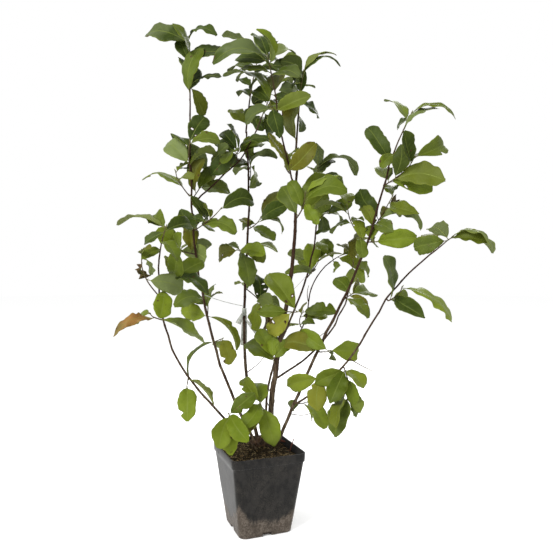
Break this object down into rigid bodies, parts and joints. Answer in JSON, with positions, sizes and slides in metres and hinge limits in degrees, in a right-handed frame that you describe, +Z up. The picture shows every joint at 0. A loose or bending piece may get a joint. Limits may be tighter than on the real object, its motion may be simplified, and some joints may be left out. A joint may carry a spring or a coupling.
{
  "type": "potted pinkie magnolia",
  "caption": "Young multi-stemmed flowering shrub in leaf, without blooms, in a square black plastic nursery pot filled with soil.",
  "frame": {"origin": "middle of the pot's flat underside", "axes": "+Z up along the stems; +Y away from a viewer in front of the plant, +X to their right"},
  "size_m": [0.8627, 0.5442, 1.3365],
  "materials": {
    "pot_plastic": "black moulded polypropylene, dusty, with dried mud low on its walls",
    "soil": "moist dark potting soil with bark chips and straw",
    "bark": "thin grey-brown to purplish bark with small pores",
    "leaf": "satin green leaves with paler undersides, some yellowing or browned"
  },
  "bodies": {
    "root": {"pot": "pot_plastic", "soil": "soil", "stem_west": "bark", "stem_centre_west": "bark", "stem_centre": "bark", "stem_inner": "bark", "stem_east": "bark", "stem_west_low": "bark", "bough_centre": "bark", "bough_west": "bark", "bough_inner": "bark", "bough_east": "bark", "bough_east_low": "bark", "foliage_west_top": "leaf", "foliage_west_upper": "leaf", "foliage_west_high": "leaf", "foliage_west_spur": "leaf", "foliage_west_mid": "leaf", "foliage_west_inner": "leaf", "foliage_west_waist": "leaf", "foliage_west_knee": "leaf", "foliage_low_west_top": "leaf", "foliage_low_west_side": "leaf", "foliage_low_west_mid": "leaf", "foliage_low_west_left": "leaf", "foliage_low_west_foot": "leaf", "foliage_foot_left": "leaf", "foliage_foot_centre": "leaf", "foliage_foot_east": "leaf", "foliage_low": "leaf", "foliage_mid": "leaf", "foliage_fork": "leaf", "foliage_centre_low": "leaf", "foliage_centre_waist": "leaf", "foliage_centre_mid": "leaf", "foliage_centre_upper": "leaf", "foliage_centre_top": "leaf", "foliage_fork_west_mid": "leaf", "foliage_fork_west_high": "leaf", "foliage_fork_west_top": "leaf", "foliage_fork_east_top": "leaf", "foliage_bough_west_mid": "leaf", "foliage_bough_west_top": "leaf", "foliage_inner_mid": "leaf", "foliage_inner_high": "leaf", "foliage_inner_top": "leaf", "foliage_thin_mid": "leaf", "foliage_thin_top": "leaf", "foliage_bough_east_top": "leaf", "foliage_east_low": "leaf", "foliage_east_mid": "leaf", "foliage_east_waist": "leaf", "foliage_east_twig": "leaf", "foliage_east_upper": "leaf", "foliage_east_side": "leaf", "foliage_east_top": "leaf", "foliage_far_east_mid": "leaf", "foliage_far_east_tip": "leaf", "foliage_skirt_inner": "leaf", "foliage_skirt": "leaf"}
  },
  "joints": []
}
